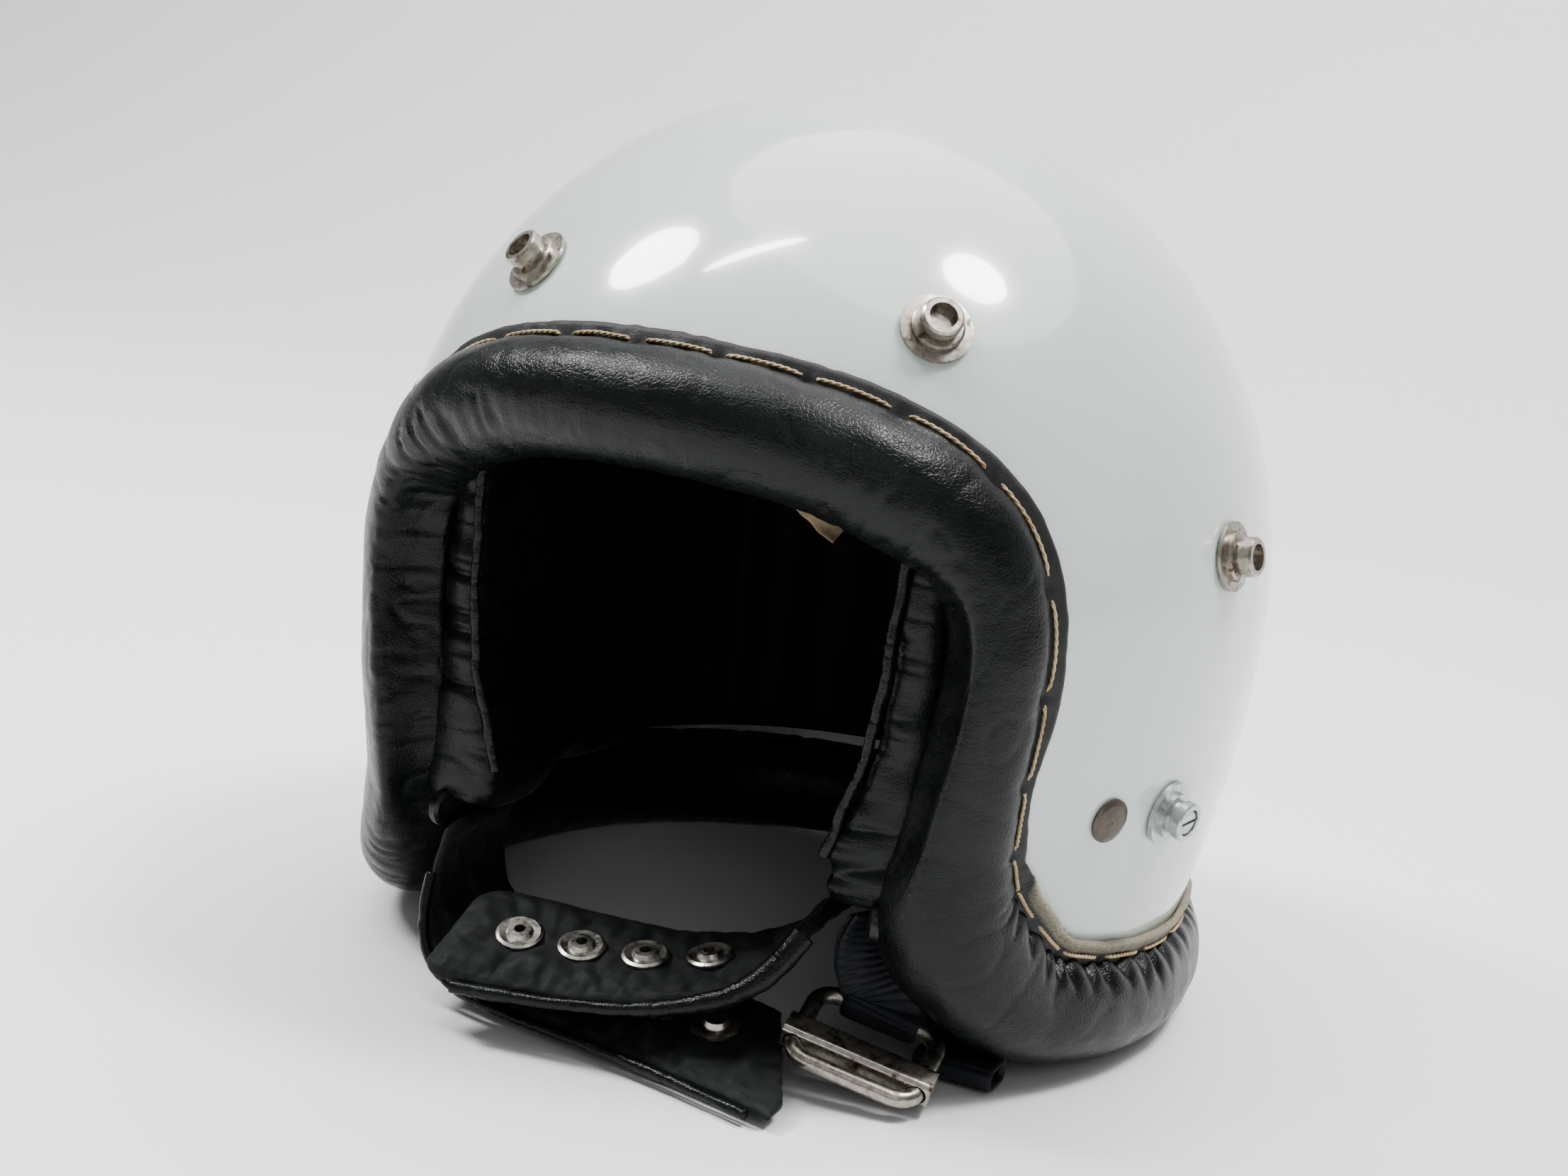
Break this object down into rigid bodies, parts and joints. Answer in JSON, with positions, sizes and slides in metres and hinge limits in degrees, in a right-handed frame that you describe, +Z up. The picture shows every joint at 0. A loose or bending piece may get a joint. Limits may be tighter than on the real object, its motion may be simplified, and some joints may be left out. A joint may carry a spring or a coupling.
{
  "type": "open face motorcycle helmet",
  "caption": "Open face helmet: glossy domed shell with a padded stitched edge roll, lining, snap studs, hinged chin flaps and a strap ring with a sliding bar.",
  "frame": {"origin": "on the floor plane under the head opening, in the helmet's plane of symmetry", "axes": "front is -Y, the wearer's left is +X, +Z is up"},
  "size_m": [0.2568, 0.2621, 0.2467],
  "materials": {
    "shell_paint": "gloss white paint over fibreglass",
    "foam": "moulded impact foam, dark",
    "black_leather": "soft black leather with a low sheen",
    "waxed_thread": "waxed natural thread",
    "lining_cloth": "black lining cloth",
    "flap_cloth": "black padded nylon cloth",
    "tan_tape": "tan woven tape",
    "aged_nickel": "aged nickel plate with brown tarnish",
    "zinc_plate": "zinc plate",
    "dark_rivet": "dark brown-grey painted rivet",
    "black_webbing": "ribbed black webbing"
  },
  "bodies": {
    "helmet": {"outer_shell": "shell_paint", "impact_liner": "foam", "edge_roll_left": "black_leather", "edge_roll_right": "black_leather", "edge_flange": "black_leather", "edge_stitching": "waxed_thread", "crown_lining": "lining_cloth", "brow_pad": "black_leather", "neck_pad": "lining_cloth", "cheek_pad_left": "black_leather", "cheek_pad_right": "black_leather", "cheek_binding_left": "black_leather", "cheek_binding_right": "black_leather", "sizing_ribbon": "tan_tape", "visor_studs": "aged_nickel", "visor_stud_backs": "aged_nickel", "side_studs": "zinc_plate", "side_stud_screws": "zinc_plate", "side_stud_nuts": "zinc_plate", "strap_rivets": "dark_rivet", "strap_rivet_backs": "zinc_plate", "lining_discs": "dark_rivet", "strap_tail": "black_webbing"},
    "left_flap": {"chin_flap_left": "flap_cloth", "chin_flap_left_piping": "black_leather", "chin_flap_left_snaps": "aged_nickel"},
    "right_flap": {"chin_flap_right": "flap_cloth", "chin_flap_right_piping": "black_leather", "chin_flap_right_snaps": "aged_nickel"},
    "strap": {"strap_webbing": "black_webbing"},
    "ring": {"buckle_ring": "aged_nickel"},
    "bar": {"buckle_slide_bar": "aged_nickel"}
  },
  "joints": [
    {"name": "left_flap_lift", "type": "hinge", "parent": "helmet", "child": "left_flap", "pos_m": [0.047, -0.072, 0.044], "axis": [0, 1, 0], "range_deg": [0, 55]},
    {"name": "right_flap_swing", "type": "hinge", "parent": "helmet", "child": "right_flap", "pos_m": [-0.0565, -0.077, 0.04], "axis": [0, 0, -1], "range_deg": [0, 12]},
    {"name": "strap_swing", "type": "hinge", "parent": "helmet", "child": "strap", "pos_m": [0.0562, -0.066, 0.0442], "axis": [-1, 0, 0], "range_deg": [0, 15]},
    {"name": "ring_fold", "type": "hinge", "parent": "strap", "child": "ring", "pos_m": [0.0626, -0.0684, 0.0166], "axis": [-0.9632, -0.17, 0.208], "range_deg": [0, 20]},
    {"name": "bar_slide", "type": "slide", "parent": "ring", "child": "bar", "axis": [-0.1025, 0.9483, 0.3004], "range_m": [0, 0.0095]}
  ]
}
